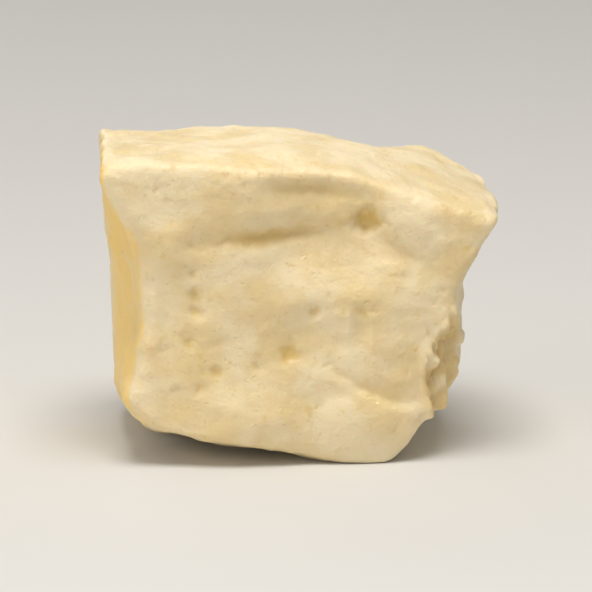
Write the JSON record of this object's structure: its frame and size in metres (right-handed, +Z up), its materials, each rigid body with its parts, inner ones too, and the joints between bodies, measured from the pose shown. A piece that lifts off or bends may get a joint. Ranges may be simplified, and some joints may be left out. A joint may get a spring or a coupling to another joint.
{
  "type": "goat cheese chunk",
  "caption": "Broken chunk of firm white goat cheese: cut front face with a creased hollow and pores, sloping top, overhanging right side and a flat base to stand on",
  "frame": {"origin": "middle of the footprint box, level with the flat base", "axes": "+X along the longest side towards the overhanging right end, +Y from the cut front face to the back, +Z up"},
  "size_m": [0.052, 0.04, 0.0405],
  "materials": {
    "cheese": "moist ivory curd, soft sheen, finely pitted, warmer in the crevices"
  },
  "bodies": {
    "root": {"cheese_chunk": "cheese"}
  },
  "joints": []
}
